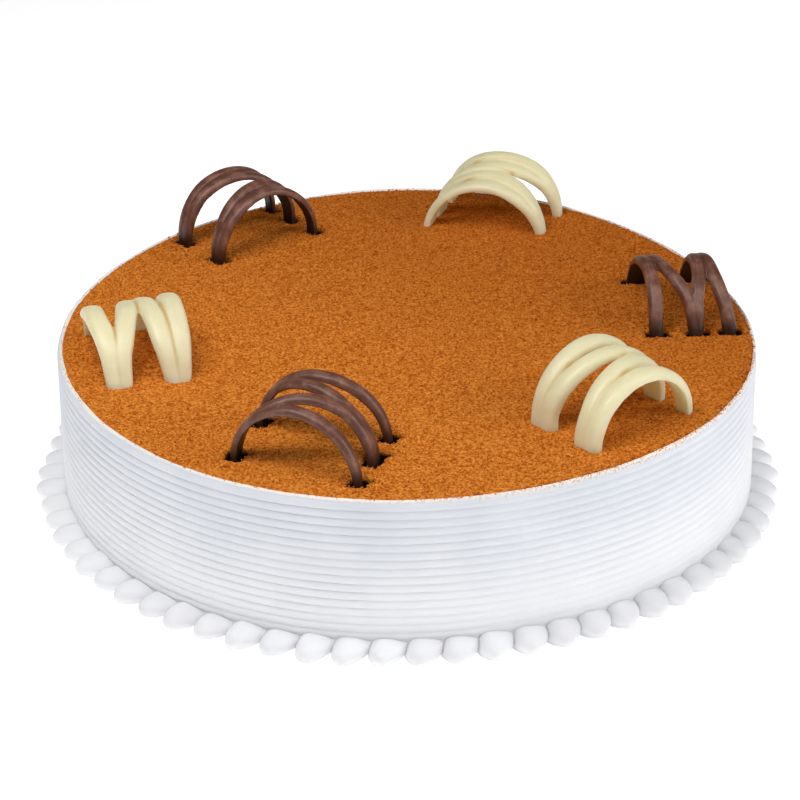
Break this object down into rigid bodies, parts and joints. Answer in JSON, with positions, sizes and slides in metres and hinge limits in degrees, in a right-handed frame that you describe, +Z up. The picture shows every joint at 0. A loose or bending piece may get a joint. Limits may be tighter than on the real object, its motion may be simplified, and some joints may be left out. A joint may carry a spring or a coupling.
{
  "type": "tiramisu cake",
  "caption": "Round whole cake with a combed cream side, cocoa-dusted top, piped bead border round the foot and bent zigzag chocolate arches near the rim.",
  "frame": {"origin": "on the floor under the middle of the whole cake", "axes": "+Z up, -Y towards the front that the picture shows"},
  "size_m": [0.2872, 0.2864, 0.0894],
  "materials": {
    "cream": "combed whipped cream, satin",
    "cocoa": "dusted cocoa, dry and matt",
    "piped_cream": "piped whipped cream, satin",
    "dark_chocolate": "set dark chocolate, soft gloss",
    "white_chocolate": "set white chocolate, soft gloss"
  },
  "bodies": {
    "root": {"cake": "cream", "cocoa_top": "cocoa", "piped_border": "piped_cream", "arch_back_left": "dark_chocolate", "arch_back_right": "white_chocolate", "arch_left": "white_chocolate", "arch_right": "dark_chocolate", "arch_front_left": "dark_chocolate", "arch_front_right": "white_chocolate"}
  },
  "joints": []
}
